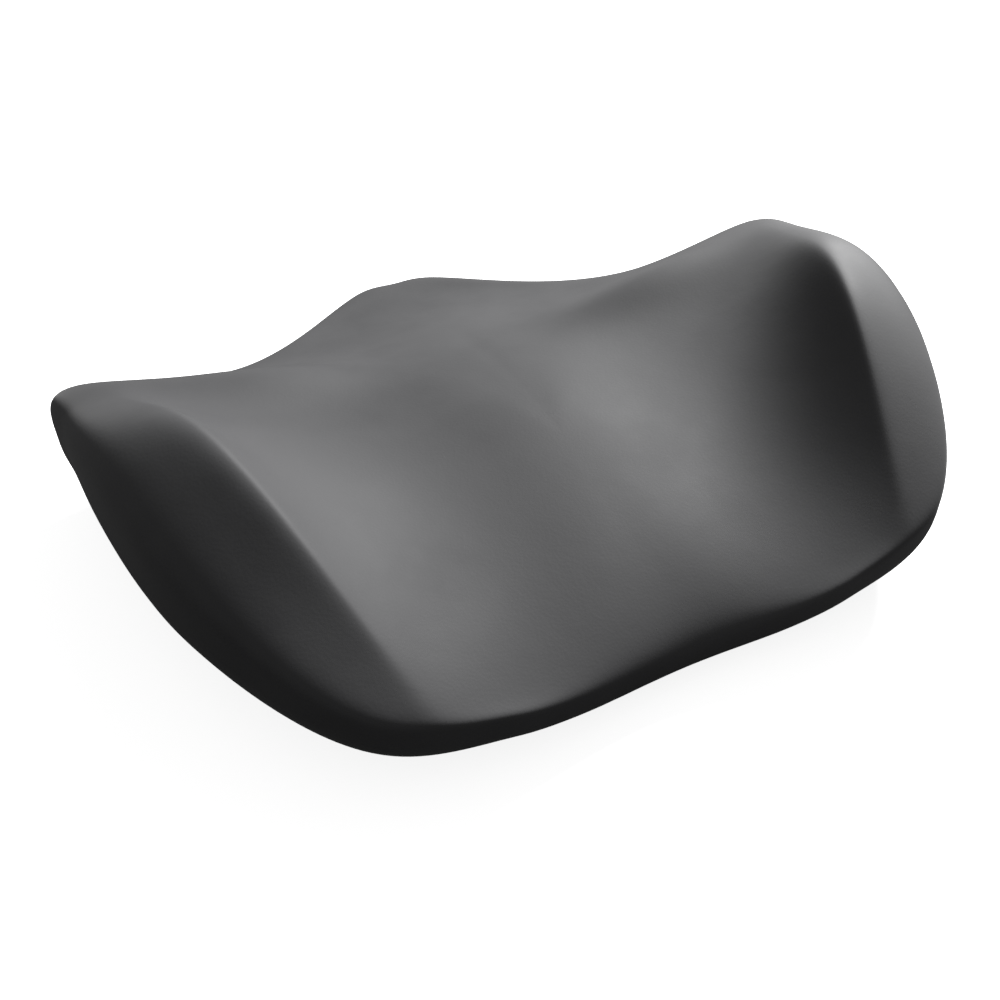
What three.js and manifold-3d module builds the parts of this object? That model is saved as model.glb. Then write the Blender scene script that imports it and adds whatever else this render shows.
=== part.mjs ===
// A contoured closed-cell foam pull buoy. Two raised side wings hold the legs, with a saddle between them,
// a broad hump at the back and a thin, waisted front edge. Under a moulded skin the body is a stack of foam
// plies. Millimetres, +X to the right, +Y to the back, +Z up. The origin is under the middle of the body,
// on the plane that it rests on. The object is the same on both sides of the plane x = 0.
import * as THREE from 'three';
import { mergeVertices } from 'three/addons/utils/BufferGeometryUtils.js';
import Module from 'manifold-3d';

const wasm = await Module();
wasm.setup();

// ---------------------------------------------------------------- driving dimensions

const HALF_WIDTH = 142; // middle to the side, at its widest
const FRONT_REACH = 78; // middle to the front edge, at the waist
const BACK_REACH = 158; // middle to the back edge, behind the hump

const SKIN = 4; // moulded skin, measured straight down
const GAP = 0.3; // glue line between any two neighbours
const PLY = 15; // thickness of one foam ply

// Plan outline of the right half, from the front waist round to the back edge, as [x, y].
const HALF_OUTLINE = [
  [0, -FRONT_REACH],
  [56, -81],
  [94, -72],
  [127, -21],
  [141, 60],
  [140, 91],
  [85, 104],
  [14, 157],
  [0, BACK_REACH],
];

// Height of the widest line of the flank above the resting plane.
const RIM = { atEnds: 9, atSides: 33 };
const LIP = 6; // least height of the top surface above the rim

// Squareness of the upper edge: 2 is a round edge, and more is a crisper one.
const EDGE = { atFront: 4.2, moreAtFrontCorners: 2.3, atSides: 6.2, atBack: 1.9 };

// Saddle between the wings. Its rises and falls are those over a distance of SPAN.
const SPAN = 133;
const SADDLE = { height: 29.8, fallToFront: 6.3, droopAtEnds: 28.7, riseToSides: 25, extraRiseAtBack: 0.1 };

// Hump in the middle of the back.
const HUMP = { height: 7.7, y: 53, halfWidth: 39, halfDepth: 268 };

// Wings: a crest on each side that comes closer to the middle towards the front.
const WING = { height: 26.1, crestX: 104, splay: 0.34, y: 4, back: 50, front: 61, outer: 38.6, inner: 18.2 };
const CREST = { crispness: 0.06, softening: 0.08, over: 45 }; // the crest gets softer towards the back

// Low ridge across each back corner, behind the wing.
const CORNER = { height: 8.5, x: 75, y: 72, halfWidth: 38, halfDepth: 18 };

// Underside: a shallow channel from front to back between two flat pads.
const CHANNEL = { depth: 4, halfWidth: 34 };
const FLAT_SHARE = 0.66; // share of the way out to the rim where the flat pads end
const SOLE_SHARE = 0.58; // share of the way out to the rim where the sole panel ends

// Facets.
const COLUMNS = 78;
const TOP_ROWS = 18;
const WALL_ROWS = 5;
const EDGE_ROWS = 4;
const SOLE_ROWS = [1, 0.8, 0.6, 0.4, 0.2]; // from the sole panel's edge to its middle

// ---------------------------------------------------------------- shape of the body

const smoothBump = (t) => Math.exp(-t * t);

// A ridge that falls off evenly on both sides of a crest rounded over a distance of about crispness.
const ridge = (t, crispness) => Math.exp(crispness - Math.hypot(t, crispness));

// The greater of two heights, blended smoothly where they are close.
const smoothMax = (a, b) => (a + b + Math.hypot(a - b, LIP)) / 2;

// Plan outline as a closed smooth curve, starting at the front waist.
function planOutline() {
  const right = HALF_OUTLINE.map(([x, y]) => new THREE.Vector3(x, y, 0));
  const left = HALF_OUTLINE.slice(1, -1).reverse().map(([x, y]) => new THREE.Vector3(-x, y, 0));
  return new THREE.CatmullRomCurve3([...right, ...left], true, 'centripetal');
}

// Height of the top surface before its edge is rounded over.
function topHeight(x, y) {
  const across = x / SPAN;
  const back = y / SPAN;
  const side = Math.hypot(x, 6); // distance from the middle plane, smooth where it crosses it
  let z = SADDLE.height + SADDLE.fallToFront * back - SADDLE.droopAtEnds * back * back;
  z += (SADDLE.riseToSides + SADDLE.extraRiseAtBack * back) * across * across;
  z += HUMP.height * smoothBump(x / HUMP.halfWidth) * smoothBump((y - HUMP.y) / HUMP.halfDepth);
  const fromCrest = side - (WING.crestX + WING.splay * y);
  const alongCrest = y - WING.y;
  const crestWidth = fromCrest > 0 ? WING.outer : WING.inner;
  const crestLength = alongCrest > 0 ? WING.back : WING.front;
  const crispness = CREST.crispness + CREST.softening * Math.exp(y / CREST.over);
  z += WING.height * ridge(fromCrest / crestWidth, crispness) * smoothBump(alongCrest / crestLength);
  const cornerAcross = (side - CORNER.x) / CORNER.halfWidth;
  z += CORNER.height * smoothBump(cornerAcross) * smoothBump((y - CORNER.y) / CORNER.halfDepth);
  return z;
}

// Height of the underside inside its rounded edge: zero on the pads.
function baseHeight(x) {
  const t = Math.min(Math.abs(x) / CHANNEL.halfWidth, 1);
  return (CHANNEL.depth * (1 + Math.cos(Math.PI * t))) / 2;
}

// How far round the sides a direction lies: 0 at the front and back, 1 at the sides.
function sideShare(rim) {
  const sine = rim.x / Math.hypot(rim.x, rim.y);
  return sine * sine;
}

function rimHeight(rim) {
  return THREE.MathUtils.lerp(RIM.atEnds, RIM.atSides, sideShare(rim));
}

function edgeSquareness(rim) {
  const sides = sideShare(rim);
  if (rim.y > 0) return THREE.MathUtils.lerp(EDGE.atBack, EDGE.atSides, sides);
  const atCorners = EDGE.moreAtFrontCorners * 4 * sides * (1 - sides);
  return THREE.MathUtils.lerp(EDGE.atFront, EDGE.atSides, sides) + atCorners;
}

// One ring of the surface for each step from the middle of the top, over the edge and the rim, to the middle
// of the underside, the whole surface moved inwards by inset. Rings are evenly spaced over the top.
function surfaceRings(inset) {
  const outline = planOutline().getSpacedPoints(COLUMNS).slice(0, COLUMNS);
  const reachOf = (rim) => 1 - inset / Math.hypot(rim.x, rim.y);
  const topRing = (turn) =>
    outline.map((rim) => {
      const n = edgeSquareness(rim);
      const scale = (Math.cos(turn) ** n + Math.sin(turn) ** n) ** (-1 / n);
      const share = Math.cos(turn) * scale;
      const x = rim.x * share * reachOf(rim);
      const y = rim.y * share * reachOf(rim);
      const low = rimHeight(rim);
      const high = smoothMax(topHeight(x, y), (low + LIP) * share ** 6);
      return [x, y, low + (high - inset - low) * Math.sin(turn) * scale];
    });
  const baseRing = (share, turn) =>
    outline.map((rim) => {
      const out = share + (reachOf(rim) - share) * Math.cos(turn);
      const low = rimHeight(rim);
      return [rim.x * out, rim.y * out, low + (baseHeight(rim.x * out) + inset - low) * Math.sin(turn)];
    });
  const rings = [];
  for (let row = 1; row <= TOP_ROWS; row += 1) rings.push(topRing(Math.atan2(TOP_ROWS, row)));
  for (let row = WALL_ROWS - 1; row >= 0; row -= 1) rings.push(topRing(Math.atan2(row, WALL_ROWS)));
  for (let row = 1; row <= EDGE_ROWS; row += 1) {
    rings.push(baseRing(FLAT_SHARE, (Math.PI / 2) * (row / EDGE_ROWS)));
  }
  return {
    outside: rings,
    underside: (share) => baseRing(share, Math.PI / 2),
    top: [0, 0, smoothMax(topHeight(0, 0), 0) - inset],
    base: [0, 0, baseHeight(0) + inset],
  };
}

// A closed geometry through a start point, rings of equal length and an end point. Each four-sided patch is
// split along the diagonal that stands higher, so that facets follow the crests.
function geometryThrough(start, rings, end) {
  const positions = [start, ...rings.flat(), end].flat();
  const at = (row, column) => 1 + row * COLUMNS + (column % COLUMNS);
  const last = positions.length / 3 - 1;
  const height = (vertex) => positions[3 * vertex + 2];
  const index = [];
  for (let column = 0; column < COLUMNS; column += 1) {
    index.push(0, at(0, column), at(0, column + 1));
    for (let row = 0; row < rings.length - 1; row += 1) {
      const a = at(row, column);
      const b = at(row + 1, column);
      const c = at(row + 1, column + 1);
      const d = at(row, column + 1);
      if (height(a) + height(c) > height(b) + height(d)) index.push(a, b, c, a, c, d);
      else index.push(a, b, d, b, c, d);
    }
    index.push(at(rings.length - 1, column), last, at(rings.length - 1, column + 1));
  }
  const geometry = new THREE.BufferGeometry();
  geometry.setAttribute('position', new THREE.Float32BufferAttribute(positions, 3));
  geometry.setIndex(index);
  return geometry;
}

// The whole body, its surface moved inwards by inset.
function bodyGeometry(inset) {
  const { outside, underside, top, base } = surfaceRings(inset);
  return geometryThrough(top, [...outside, ...SOLE_ROWS.map((share) => underside(share * SOLE_SHARE))], base);
}

// The moulded skin: over the top, round the rim and under the body as far as the sole panel, then back along
// its inner face.
function skinGeometry() {
  const outer = surfaceRings(0);
  const inner = surfaceRings(SKIN);
  const opening = SOLE_SHARE + GAP / FRONT_REACH;
  const there = [...outer.outside, outer.underside(opening)];
  const back = [inner.underside(opening), ...inner.outside.toReversed()];
  return geometryThrough(outer.top, [...there, ...back], inner.top);
}

// The sole panel: the part of the skin that closes its opening.
function soleGeometry() {
  const outer = surfaceRings(0);
  const inner = surfaceRings(SKIN);
  const shares = SOLE_ROWS.map((row) => row * SOLE_SHARE);
  const there = shares.toReversed().map((share) => inner.underside(share));
  const back = shares.map((share) => outer.underside(share));
  return geometryThrough(inner.base, [...there, ...back], outer.base);
}

// ---------------------------------------------------------------- solids

function solidFrom(geometry) {
  const bare = geometry.clone();
  bare.deleteAttribute('normal');
  bare.deleteAttribute('uv');
  const merged = mergeVertices(bare);
  return new wasm.Manifold(
    new wasm.Mesh({
      numProp: 3,
      vertProperties: new Float32Array(merged.attributes.position.array),
      triVerts: new Uint32Array(merged.index.array),
    }),
  );
}

function geometryFrom(solid) {
  const mesh = solid.getMesh();
  const geometry = new THREE.BufferGeometry();
  geometry.setAttribute('position', new THREE.BufferAttribute(new Float32Array(mesh.vertProperties), 3));
  geometry.setIndex(new THREE.BufferAttribute(new Uint32Array(mesh.triVerts), 1));
  return geometry;
}

// Everything between two heights, as a slab wider than the body.
function slab(low, high) {
  const box = new THREE.BoxGeometry(4 * HALF_WIDTH, 4 * HALF_WIDTH, high - low);
  box.translate(0, 0, (low + high) / 2);
  return solidFrom(box);
}

// ---------------------------------------------------------------- pieces

const skinMaterial = () => new THREE.MeshStandardMaterial({ color: 0x3a3a3b, roughness: 0.75, metalness: 0 });
const foamMaterial = () => new THREE.MeshStandardMaterial({ color: 0x55585a, roughness: 0.95, metalness: 0 });

const pullBuoy = new THREE.Group();

// The body is moved along Y so that the origin is under its middle.
function addPiece(name, solid, material) {
  const mesh = new THREE.Mesh(geometryFrom(solid.translate(0, -middleY, 0)), material);
  mesh.name = name;
  pullBuoy.add(mesh);
}

const skin = solidFrom(skinGeometry());
const middleY = (skin.boundingBox().min[1] + skin.boundingBox().max[1]) / 2;
addPiece('moulded_skin', skin, skinMaterial());
addPiece('sole_panel', solidFrom(soleGeometry()), skinMaterial());

// The core is a stack of plies, from the bottom up. Only the wings reach into the top two, so each of those
// comes as a separate piece for each wing.
const PLY_NAMES = [
  ['core_ply_base'],
  ['core_ply_middle'],
  ['core_ply_saddle'],
  ['wing_ply_left', 'wing_ply_right'],
  ['crest_ply_left', 'crest_ply_right'],
];
const core = solidFrom(bodyGeometry(SKIN + GAP));
PLY_NAMES.forEach((names, ply) => {
  const low = ply * PLY + (ply > 0 ? GAP : 0);
  const lumps = core.intersect(slab(low, (ply + 1) * PLY)).decompose();
  lumps.sort((a, b) => a.boundingBox().min[0] - b.boundingBox().min[0]);
  names.forEach((name, place) => addPiece(name, lumps[place], foamMaterial()));
});

export default pullBuoy;
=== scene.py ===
"""Looks of the contoured foam pull buoy: one moulded skin, a sole panel below and cut foam plies inside.

Metres, in the frame of the CAD model: +X to the right, +Y to the back, +Z up, origin under the middle.
"""
import math

import bmesh
import bpy
import numpy as np
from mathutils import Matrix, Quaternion, Vector

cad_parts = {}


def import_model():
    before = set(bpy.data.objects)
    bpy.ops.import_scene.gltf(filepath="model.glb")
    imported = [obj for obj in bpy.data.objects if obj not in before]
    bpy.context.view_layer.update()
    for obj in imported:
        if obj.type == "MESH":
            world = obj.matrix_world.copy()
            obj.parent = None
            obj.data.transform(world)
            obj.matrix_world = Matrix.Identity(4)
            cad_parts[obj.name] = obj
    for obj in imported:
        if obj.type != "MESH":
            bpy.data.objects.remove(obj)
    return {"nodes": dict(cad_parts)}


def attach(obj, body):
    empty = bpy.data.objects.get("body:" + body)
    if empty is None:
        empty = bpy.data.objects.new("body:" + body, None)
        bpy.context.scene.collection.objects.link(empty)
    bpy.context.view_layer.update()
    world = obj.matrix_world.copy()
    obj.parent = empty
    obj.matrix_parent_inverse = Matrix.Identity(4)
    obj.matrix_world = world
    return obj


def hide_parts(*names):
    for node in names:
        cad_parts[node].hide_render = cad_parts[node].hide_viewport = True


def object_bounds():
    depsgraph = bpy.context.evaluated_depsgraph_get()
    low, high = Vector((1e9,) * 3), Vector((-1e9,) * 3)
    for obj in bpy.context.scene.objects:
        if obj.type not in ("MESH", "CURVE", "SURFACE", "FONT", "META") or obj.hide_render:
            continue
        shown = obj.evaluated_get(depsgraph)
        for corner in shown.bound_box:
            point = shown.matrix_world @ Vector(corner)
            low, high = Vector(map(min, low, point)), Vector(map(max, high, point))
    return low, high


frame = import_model()
cad_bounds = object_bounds()
LOW = Vector(cad_bounds[0])
HIGH = Vector(cad_bounds[1])
SIZE = HIGH - LOW
MIDDLE = (LOW + HIGH) / 2
MM = 0.001
QUARTER = math.pi / 2

# ---------------------------------------------------------------- looks: driving values

SKIN_DARK = (0.040, 0.040, 0.042)      # linear colour of the skin in its darker patches
SKIN_LIGHT = (0.052, 0.052, 0.054)     # and in its lighter ones
SKIN_CREST_HIGHLIGHT = (0.075, 0.075, 0.077)    # painted highlight along the sharp crests
FOAM_DARK = (0.075, 0.078, 0.080)      # cut foam inside, and the painted shade in its pores
FOAM_LIGHT = (0.105, 0.109, 0.112)

SKIN_ROUGHNESS = (0.62, 0.74)
FOAM_ROUGHNESS = 0.93
CREST_HIGHLIGHT_POINTINESS = (0.505, 0.56)      # where the painted crest highlight starts, and where it is full
CREST_HIGHLIGHT_MOST = 0.6                      # share of the painted highlight colour on the sharpest crest

PEBBLE = 0.9 * MM                      # size of one pebble of the moulded grain
PEBBLE_DEPTH = 0.06 * MM
SWELL = 14 * MM                        # size of the faint swell of the skin
SWELL_DEPTH = 0.35 * MM
HIGHLIGHT_BREAK = 9 * MM                         # size of the breaks in the painted crest highlight
PATCH = 45 * MM                        # size of the soft patches in the colour
PORE = 0.7 * MM                        # size of one pore in the cut foam
PORE_DEPTH = 0.2 * MM
FOAM_PATCH = 20 * MM                   # size of the patches in the cut foam

# ---------------------------------------------------------------- shape: driving dimensions

# The same design as the CAD solids, in millimetres on its own scale. Its outline is brought onto the frame's
# box, and its heights onto the box's height, so a change of the CAD size carries over.
SKIN = 4.0                             # thickness of the moulded skin, straight down and in plan
GAP = 0.3                              # glue line between the skin and the sole panel
FRONT_REACH = 78.0                     # middle to the front edge, at the waist
BACK_REACH = 158.0                     # middle to the back edge, behind the hump

# Plan outline of the right half, from the front waist round to the back edge, as (x, y).
HALF_OUTLINE = [
    (0.0, -FRONT_REACH),
    (56.0, -81.0),
    (94.0, -72.0),
    (127.0, -21.0),
    (141.0, 60.0),
    (140.0, 91.0),
    (85.0, 104.0),
    (14.0, 157.0),
    (0.0, BACK_REACH),
]

RIM = {"ends": 9.0, "sides": 33.0}     # height of the widest line of the flank
LIP = 6.0                              # least height of the top above the rim, and its blend into the top
LIP_POWER = 6                          # how closely the lip keeps to the rim: more is closer
EDGE = {"front": 4.2, "front_corners": 2.3, "sides": 6.2, "back": 1.9}  # squareness of the upper edge
SPAN = 133.0                           # distance over which the saddle rises and falls
MIDDLE_BLEND = 6.0                     # the two sides run into each other over this distance
SADDLE = {"height": 29.8, "fall": 6.3, "droop": 28.7, "rise": 25.0, "rise_back": 0.1}
HUMP = {"height": 7.7, "y": 53.0, "half_width": 39.0, "half_depth": 268.0}
WING = {"height": 26.1, "x": 104.0, "splay": 0.34, "y": 4.0}
WING_REACH = {"back": 50.0, "front": 61.0, "outer": 38.6, "inner": 18.2}
CREST = {"crispness": 0.06, "softening": 0.08, "over": 45.0}
CORNER = {"height": 8.5, "x": 75.0, "y": 72.0, "half_width": 38.0, "half_depth": 18.0}
CHANNEL = {"depth": 4.0, "half_width": 34.0}
FLAT_SHARE = 0.66                      # share of the way out to the rim where the flat pads end
SOLE_SHARE = 0.58                      # share of the way out to the rim where the sole panel ends
ARRIS = 0.8                            # rounding of the edges along the sole panel's glue line

# Spacing of the surface.
CURVE_STEPS = 80                       # points on each stretch of the outline curve
COLUMNS = 360
TOP_ROWS = 120
WALL_ROWS = 26
EDGE_ROWS = 22
FLAT_ROWS = 10
ARRIS_ROWS = 4
SOLE_ROWS = {"inner": 12, "outer": 40}
INNER_ROWS = {"top": 30, "wall": 8, "edge": 8}
PROBE_ROWS = {"top": 60, "wall": 4, "edge": 2}  # coarse rings that only measure the body's size

# ---------------------------------------------------------------- light and camera: driving values

SKY = 0.24                             # brightness of the sky as a light
FLOOR_GLOW = 0.84                      # lifts the floor's shadows where the camera sees them
FLOOR_BOUNCE = 0.08                    # how much light the floor throws back on the object
FLOOR_TONES = (0.86, 0.90)             # greys of the floor
FLOOR_PATCH = 0.4                      # size of the floor's patches
FLOOR_WIDTHS = 12                      # reach of the floor each way, in widths of the object
FLOOR_DROP = 0.05 * MM                 # keeps the floor off the plane of the pads
KEY = {"azimuth": 120, "elevation": 33, "distance": 1.5, "size": 0.6, "power": 56}

CAMERA_AZIMUTH = -28.6
CAMERA_ELEVATION = 39.8
CAMERA_ROLL = 1.5
CAMERA_DISTANCE = 0.3556
CAMERA_LENS = 39.4                     # focal length, for the sensor width below
CAMERA_SENSOR = 36.0
CAMERA_SHIFT = (-0.063, -0.035)
AIM = Vector((0, -0.038, 0.025))       # point of the body that the camera looks at


# ---------------------------------------------------------------- node helpers

def new_material(name):
    material = bpy.data.materials.new(name)
    material.use_nodes = True
    material.node_tree.nodes.clear()
    return material


def add(tree, kind, **settings):
    node = tree.nodes.new(kind)
    for key, value in settings.items():
        setattr(node, key, value)
    return node


def link(tree, out_socket, in_socket):
    tree.links.new(out_socket, in_socket)


def noise(tree, place, size, detail=3.0, roughness=0.5):
    node = add(tree, "ShaderNodeTexNoise")
    node.inputs["Scale"].default_value = 1 / size
    node.inputs["Detail"].default_value = detail
    node.inputs["Roughness"].default_value = roughness
    link(tree, place, node.inputs["Vector"])
    return node.outputs["Fac"]


def span(tree, value, low, high, to_low, to_high):
    node = add(tree, "ShaderNodeMapRange", clamp=True)
    node.inputs["From Min"].default_value = low
    node.inputs["From Max"].default_value = high
    node.inputs["To Min"].default_value = to_low
    node.inputs["To Max"].default_value = to_high
    link(tree, value, node.inputs["Value"])
    return node.outputs["Result"]


def blend_colours(tree, factor, first, second):
    node = add(tree, "ShaderNodeMix", data_type="RGBA")
    for socket, colour in ((node.inputs[6], first), (node.inputs[7], second)):
        if isinstance(colour, tuple):
            socket.default_value = (*colour, 1)
        else:
            link(tree, colour, socket)
    link(tree, factor, node.inputs[0])
    return node.outputs[2]


def bump(tree, height, strength, distance, below=None):
    node = add(tree, "ShaderNodeBump")
    node.inputs["Strength"].default_value = strength
    node.inputs["Distance"].default_value = distance
    link(tree, height, node.inputs["Height"])
    if below is not None:
        link(tree, below, node.inputs["Normal"])
    return node.outputs["Normal"]


# ---------------------------------------------------------------- materials

def skin_material():
    """Moulded closed-cell foam skin: matte dark grey, with a fine pebble, soft patches and a painted
    highlight along the crests.
    """
    material = new_material("moulded_foam_skin")
    tree = material.node_tree
    place = add(tree, "ShaderNodeTexCoord").outputs["Object"]
    surface = add(tree, "ShaderNodeBsdfPrincipled")
    output = add(tree, "ShaderNodeOutputMaterial")

    patches = noise(tree, place, PATCH, detail=4.0, roughness=0.55)
    mottle = span(tree, patches, 0.35, 0.65, 0.0, 1.0)
    colour = blend_colours(tree, mottle, SKIN_DARK, SKIN_LIGHT)

    geometry = add(tree, "ShaderNodeNewGeometry")
    # painted highlight: a lighter colour on the sharp crests, broken up by noise
    crest = span(tree, geometry.outputs["Pointiness"], *CREST_HIGHLIGHT_POINTINESS, 0.0, CREST_HIGHLIGHT_MOST)
    highlight_breaks = span(tree, noise(tree, place, HIGHLIGHT_BREAK, detail=5.0), 0.40, 0.62, 0.25, 1.0)
    painted_highlight = add(tree, "ShaderNodeMath", operation="MULTIPLY")
    link(tree, crest, painted_highlight.inputs[0])
    link(tree, highlight_breaks, painted_highlight.inputs[1])
    colour = blend_colours(tree, painted_highlight.outputs[0], colour, SKIN_CREST_HIGHLIGHT)
    link(tree, colour, surface.inputs["Base Color"])

    roughness = span(tree, patches, 0.3, 0.7, *SKIN_ROUGHNESS)
    link(tree, roughness, surface.inputs["Roughness"])
    surface.inputs["Specular IOR Level"].default_value = 0.35
    surface.inputs["Sheen Weight"].default_value = 0.12
    surface.inputs["Sheen Roughness"].default_value = 0.45

    pebble = add(tree, "ShaderNodeTexVoronoi", feature="SMOOTH_F1")
    pebble.inputs["Scale"].default_value = 1 / PEBBLE
    pebble.inputs["Smoothness"].default_value = 0.7
    link(tree, place, pebble.inputs["Vector"])
    grain = bump(tree, pebble.outputs["Distance"], 0.25, PEBBLE_DEPTH)
    swell = noise(tree, place, SWELL, detail=2.0)
    normal = bump(tree, swell, 0.25, SWELL_DEPTH, below=grain)
    link(tree, normal, surface.inputs["Normal"])
    link(tree, surface.outputs["BSDF"], output.inputs["Surface"])
    return material


def foam_material():
    """Cut closed-cell foam: open pores with painted shade in them, a paler mid grey and no sheen."""
    material = new_material("cut_foam")
    tree = material.node_tree
    place = add(tree, "ShaderNodeTexCoord").outputs["Object"]
    surface = add(tree, "ShaderNodeBsdfPrincipled")
    output = add(tree, "ShaderNodeOutputMaterial")
    pores = add(tree, "ShaderNodeTexVoronoi", feature="F1")
    pores.inputs["Scale"].default_value = 1 / PORE
    link(tree, place, pores.inputs["Vector"])
    patches = noise(tree, place, FOAM_PATCH)
    # painted shade: darker towards the middle of each pore
    depth = span(tree, pores.outputs["Distance"], 0.15, 0.6, 0.0, 1.0)
    colour = blend_colours(tree, depth, FOAM_DARK, FOAM_LIGHT)
    colour = blend_colours(tree, span(tree, patches, 0.4, 0.6, 0.0, 0.35), colour, FOAM_DARK)
    link(tree, colour, surface.inputs["Base Color"])
    surface.inputs["Roughness"].default_value = FOAM_ROUGHNESS
    surface.inputs["Specular IOR Level"].default_value = 0.2
    link(tree, bump(tree, pores.outputs["Distance"], 0.6, PORE_DEPTH), surface.inputs["Normal"])
    link(tree, surface.outputs["BSDF"], output.inputs["Surface"])
    return material


# ---------------------------------------------------------------- shape of the body

def bell(t):
    """Bell curve with its peak of 1 at 0."""
    return np.exp(-t * t)


def smooth_max(a, b):
    """The greater of two heights, blended smoothly where they are close."""
    return (a + b + np.hypot(a - b, LIP)) / 2


def centripetal(p0, p1, p2, p3, steps):
    """Points from p1 towards p2 on a centripetal Catmull-Rom curve."""
    knots = [0.0]
    for first, second in ((p0, p1), (p1, p2), (p2, p3)):
        knots.append(knots[-1] + math.sqrt(math.dist(first, second)))
    k0, k1, k2, k3 = knots
    points = [np.array(p) for p in (p0, p1, p2, p3)]
    t = np.linspace(k1, k2, steps, endpoint=False)[:, None]
    a1 = (k1 - t) / (k1 - k0) * points[0] + (t - k0) / (k1 - k0) * points[1]
    a2 = (k2 - t) / (k2 - k1) * points[1] + (t - k1) / (k2 - k1) * points[2]
    a3 = (k3 - t) / (k3 - k2) * points[2] + (t - k2) / (k3 - k2) * points[3]
    b1 = (k2 - t) / (k2 - k0) * a1 + (t - k0) / (k2 - k0) * a2
    b2 = (k3 - t) / (k3 - k1) * a2 + (t - k1) / (k3 - k1) * a3
    return (k2 - t) / (k2 - k1) * b1 + (t - k1) / (k2 - k1) * b2


def plan_outline():
    """Evenly spaced points of the plan outline, counter-clockwise from the front waist."""
    corners = HALF_OUTLINE + [(-x, y) for x, y in HALF_OUTLINE[-2:0:-1]]
    count = len(corners)
    dense = np.concatenate([
        centripetal(*(corners[(i + step) % count] for step in (-1, 0, 1, 2)), CURVE_STEPS)
        for i in range(count)
    ])
    closed = np.vstack([dense, dense[:1]])
    along = np.concatenate([[0.0], np.cumsum(np.hypot(*np.diff(closed, axis=0).T))])
    even = np.linspace(0.0, along[-1], COLUMNS, endpoint=False)
    return np.stack([np.interp(even, along, closed[:, axis]) for axis in (0, 1)], axis=1)


def top_height(x, y):
    """Height of the top surface before its edge is rounded over."""
    across = x / SPAN
    back = y / SPAN
    side = np.hypot(x, MIDDLE_BLEND)
    z = SADDLE["height"] + SADDLE["fall"] * back - SADDLE["droop"] * back ** 2
    z = z + (SADDLE["rise"] + SADDLE["rise_back"] * back) * across ** 2
    z = z + HUMP["height"] * bell(x / HUMP["half_width"]) * bell((y - HUMP["y"]) / HUMP["half_depth"])
    from_crest = side - (WING["x"] + WING["splay"] * y)
    along_crest = y - WING["y"]
    t = from_crest / np.where(from_crest > 0, WING_REACH["outer"], WING_REACH["inner"])
    length = np.where(along_crest > 0, WING_REACH["back"], WING_REACH["front"])
    crispness = CREST["crispness"] + CREST["softening"] * np.exp(y / CREST["over"])
    ridge = np.exp(crispness - np.hypot(t, crispness))
    z = z + WING["height"] * ridge * bell(along_crest / length)
    across_corner = (side - CORNER["x"]) / CORNER["half_width"]
    return z + CORNER["height"] * bell(across_corner) * bell((y - CORNER["y"]) / CORNER["half_depth"])


def base_height(x):
    """Height of the underside inside its rounded edge: zero on the pads, and the channel between them."""
    t = np.minimum(np.abs(x) / CHANNEL["half_width"], 1.0)
    return CHANNEL["depth"] * (1 + np.cos(math.pi * t)) / 2


class Body:
    """Rings of the body's surface, moved inwards by an inset."""

    def __init__(self, inset):
        self.inset = inset
        self.x, self.y = plan_outline().T
        radius = np.hypot(self.x, self.y)
        self.reach = 1 - inset / radius
        self.sides = (self.x / radius) ** 2
        self.low = RIM["ends"] + (RIM["sides"] - RIM["ends"]) * self.sides
        front = self.y < 0
        ends = np.where(front, EDGE["front"], EDGE["back"])
        corners = np.where(front, EDGE["front_corners"] * 4 * self.sides * (1 - self.sides), 0.0)
        self.squareness = ends + (EDGE["sides"] - ends) * self.sides + corners

    def top(self, turn):
        """Ring of the upper side: a turn of 0 is the rim, and a quarter turn is the middle of the top."""
        n = self.squareness
        scale = (math.cos(turn) ** n + math.sin(turn) ** n) ** (-1 / n)
        share = math.cos(turn) * scale
        x = self.x * share * self.reach
        y = self.y * share * self.reach
        high = smooth_max(top_height(x, y), (self.low + LIP) * share ** LIP_POWER)
        return np.stack([x, y, self.low + (high - self.inset - self.low) * math.sin(turn) * scale], axis=1)

    def base(self, share, turn=QUARTER, lift=0.0):
        """Ring of the lower side: a turn of 0 is the rim, and at a quarter turn it is at share of the rim."""
        out = share + (self.reach - share) * math.cos(turn)
        x = self.x * out
        z = self.low + (base_height(x) + self.inset + lift - self.low) * math.sin(turn)
        return np.stack([x, self.y * out, z], axis=1)

    def over_the_top(self, top, wall, edge):
        """Rings from the middle of the top, over the edge and the rim, to where the flat pads end."""
        rings = [self.top(math.atan2(top, row)) for row in range(1, top + 1)]
        rings += [self.top(math.atan2(row, wall)) for row in range(wall - 1, -1, -1)]
        return rings + [self.base(FLAT_SHARE, QUARTER * row / edge) for row in range(1, edge + 1)]


def closed_surface(name, start, rings, end):
    """A closed mesh from a start point through rings to an end point, placed on the frame's box."""
    count = len(rings[0])
    points = np.concatenate([start[None, :], *rings, end[None, :]])
    columns = np.arange(count)
    after = (columns + 1) % count
    faces = []
    for row in range(len(rings) - 1):
        here = 1 + row * count
        there = here + count
        faces += np.stack([here + columns, there + columns, there + after, here + after], axis=1).tolist()
    last = len(points) - 1
    faces += [(0, 1 + a, 1 + b) for a, b in zip(columns.tolist(), after.tolist())]
    final = 1 + (len(rings) - 1) * count
    faces += [(final + a, last, final + b) for a, b in zip(columns.tolist(), after.tolist())]
    mesh = bpy.data.meshes.new(name)
    mesh.from_pydata((points * SCALE + SHIFT).tolist(), [], faces)
    mesh.validate()
    mesh.shade_smooth()
    piece = bpy.data.objects.new(name, mesh)
    bpy.context.scene.collection.objects.link(piece)
    return piece


OUTER = Body(0.0)
INNER = Body(SKIN)

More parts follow.
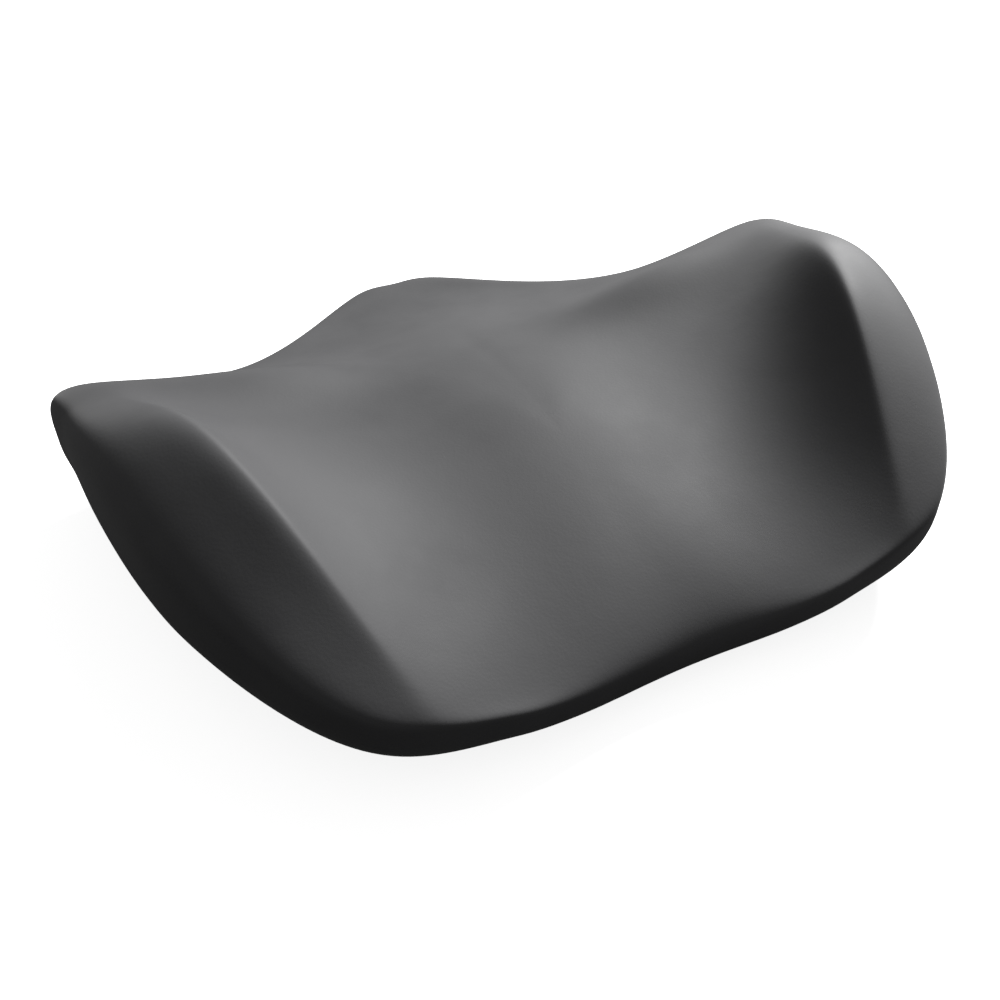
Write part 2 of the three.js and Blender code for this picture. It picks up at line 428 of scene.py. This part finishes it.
# From the design's millimetres to the frame's metres, by the box of the outer surface.
PROBE = np.concatenate(OUTER.over_the_top(**PROBE_ROWS))
SPREAD = np.stack([PROBE.min(axis=0), PROBE.max(axis=0)])
SCALE = np.array(SIZE) / np.array([*(SPREAD[1] - SPREAD[0])[:2], SPREAD[1][2]])
SHIFT = np.array([MIDDLE.x, MIDDLE.y, LOW.z]) - SCALE * np.array([*SPREAD.mean(axis=0)[:2], 0.0])


# ---------------------------------------------------------------- pieces

def middle_point(body, under=False):
    """Middle point of a body's top, or of its underside."""
    height = base_height(0.0) + body.inset if under else smooth_max(top_height(0.0, 0.0), 0.0) - body.inset
    return np.array([0.0, 0.0, float(height)])


def arris_ring(edge, side, row):
    """Ring of the rounding along an edge below: side is 1 for a piece outside the edge, -1 for one inside."""
    turn = QUARTER * row / ARRIS_ROWS
    share = edge + side * ARRIS / FRONT_REACH * (1 - math.sin(turn))
    return OUTER.base(share, lift=ARRIS * (1 - math.cos(turn)))


def skin_piece():
    """The moulded skin, closed along its inner face, with rounded edges round its opening below."""
    opening = SOLE_SHARE + GAP / FRONT_REACH
    flats = np.linspace(FLAT_SHARE, opening + ARRIS / FRONT_REACH, FLAT_ROWS)[1:]
    rings = OUTER.over_the_top(TOP_ROWS, WALL_ROWS, EDGE_ROWS)
    rings += [OUTER.base(share) for share in flats]
    rings += [arris_ring(opening, 1, row) for row in range(1, ARRIS_ROWS + 1)]
    rings.append(INNER.base(opening))
    rings += INNER.over_the_top(**INNER_ROWS)[::-1]
    return closed_surface("skin_fine", middle_point(OUTER), rings, middle_point(INNER))


def sole_piece():
    """The panel that closes the skin below, with its outer edge rounded."""
    inner, outer = SOLE_ROWS["inner"], SOLE_ROWS["outer"]
    flat_end = SOLE_SHARE - ARRIS / FRONT_REACH
    rings = [INNER.base(SOLE_SHARE * step / inner) for step in range(1, inner + 1)]
    rings += [arris_ring(SOLE_SHARE, -1, row) for row in range(ARRIS_ROWS, 0, -1)]
    rings += [OUTER.base(flat_end * step / outer) for step in range(outer, 0, -1)]
    start = middle_point(INNER, under=True)
    end = middle_point(OUTER, under=True)
    return closed_surface("sole_fine", start, rings, end)


SKIN_PIECES = {"moulded_skin": skin_piece, "sole_panel": sole_piece}
skin_look = skin_material()
foam_look = foam_material()

for node, build in SKIN_PIECES.items():
    piece = build()
    piece.data.materials.append(skin_look)
    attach(piece, "root")
    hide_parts(node)

# The plies keep their CAD shape, and only get their material.
for node, item in frame["nodes"].items():
    if node not in SKIN_PIECES:
        item.data.materials.clear()
        item.data.materials.append(foam_look)


# ---------------------------------------------------------------- floor, light and camera

def floor_material():
    """Pale to the camera with a light soft shadow, and dim to the object, so that its flanks stay dark."""
    material = new_material("pale_floor")
    tree = material.node_tree
    place = add(tree, "ShaderNodeTexCoord").outputs["Object"]
    seen = add(tree, "ShaderNodeBsdfPrincipled")
    darker, lighter = ((tone,) * 3 for tone in FLOOR_TONES)
    colour = blend_colours(tree, noise(tree, place, FLOOR_PATCH), darker, lighter)
    link(tree, colour, seen.inputs["Base Color"])
    seen.inputs["Roughness"].default_value = 0.8
    seen.inputs["Emission Color"].default_value = (1, 1, 1, 1)
    seen.inputs["Emission Strength"].default_value = FLOOR_GLOW
    bounce = add(tree, "ShaderNodeBsdfDiffuse")
    bounce.inputs["Color"].default_value = (FLOOR_BOUNCE, FLOOR_BOUNCE, FLOOR_BOUNCE, 1)
    choice = add(tree, "ShaderNodeMixShader")
    link(tree, add(tree, "ShaderNodeLightPath").outputs["Is Camera Ray"], choice.inputs[0])
    link(tree, bounce.outputs["BSDF"], choice.inputs[1])
    link(tree, seen.outputs["BSDF"], choice.inputs[2])
    output = add(tree, "ShaderNodeOutputMaterial")
    link(tree, choice.outputs["Shader"], output.inputs["Surface"])
    return material


def floor():
    """A wide pale floor under the object."""
    mesh = bpy.data.meshes.new("floor")
    grid = bmesh.new()
    bmesh.ops.create_grid(grid, x_segments=2, y_segments=2, size=FLOOR_WIDTHS * SIZE.x)
    grid.to_mesh(mesh)
    grid.free()
    item = bpy.data.objects.new("floor", mesh)
    item.location.z = LOW.z - FLOOR_DROP
    bpy.context.scene.collection.objects.link(item)
    mesh.materials.append(floor_material())


def towards(azimuth, elevation):
    """Unit vector from the object to a point seen at this azimuth and elevation, in degrees."""
    a = math.radians(azimuth)
    e = math.radians(elevation)
    return Vector((math.sin(a) * math.cos(e), -math.cos(a) * math.cos(e), math.sin(e)))


def lamp(name, azimuth, elevation, distance, size, power):
    """A round soft light that looks at the middle of the object."""
    light = bpy.data.lights.new(name, "AREA")
    light.shape = "DISK"
    light.size = size
    light.energy = power
    item = bpy.data.objects.new(name, light)
    item.location = MIDDLE + towards(azimuth, elevation) * distance
    item.rotation_euler = (MIDDLE - item.location).to_track_quat("-Z", "Y").to_euler()
    bpy.context.scene.collection.objects.link(item)


def camera():
    """The camera of the picture, at the angle and distance that the object was seen from."""
    data = bpy.data.cameras.new("camera")
    data.lens = CAMERA_LENS
    data.sensor_width = CAMERA_SENSOR
    data.shift_x, data.shift_y = CAMERA_SHIFT
    item = bpy.data.objects.new("camera", data)
    back = towards(CAMERA_AZIMUTH, CAMERA_ELEVATION)
    item.location = AIM + back * CAMERA_DISTANCE
    roll = Quaternion((0, 0, 1), math.radians(CAMERA_ROLL))
    item.rotation_euler = (back.to_track_quat("Z", "Y") @ roll).to_euler()
    bpy.context.scene.collection.objects.link(item)
    bpy.context.scene.camera = item


def world():
    """An even sky: dim as a light, and as pale as the floor where the camera sees it."""
    scene = bpy.context.scene
    scene.world = scene.world or bpy.data.worlds.new("world")
    scene.world.use_nodes = True
    tree = scene.world.node_tree
    tree.nodes.clear()
    sky = add(tree, "ShaderNodeBackground")
    sky.inputs["Color"].default_value = (1, 1, 1, 1)
    seen = add(tree, "ShaderNodeLightPath").outputs["Is Camera Ray"]
    link(tree, span(tree, seen, 0.0, 1.0, SKY, 1.0), sky.inputs["Strength"])
    output = add(tree, "ShaderNodeOutputWorld")
    link(tree, sky.outputs["Background"], output.inputs["Surface"])


floor()
world()
lamp("key", **KEY)
camera()
bpy.context.scene.view_settings.view_transform = "Standard"
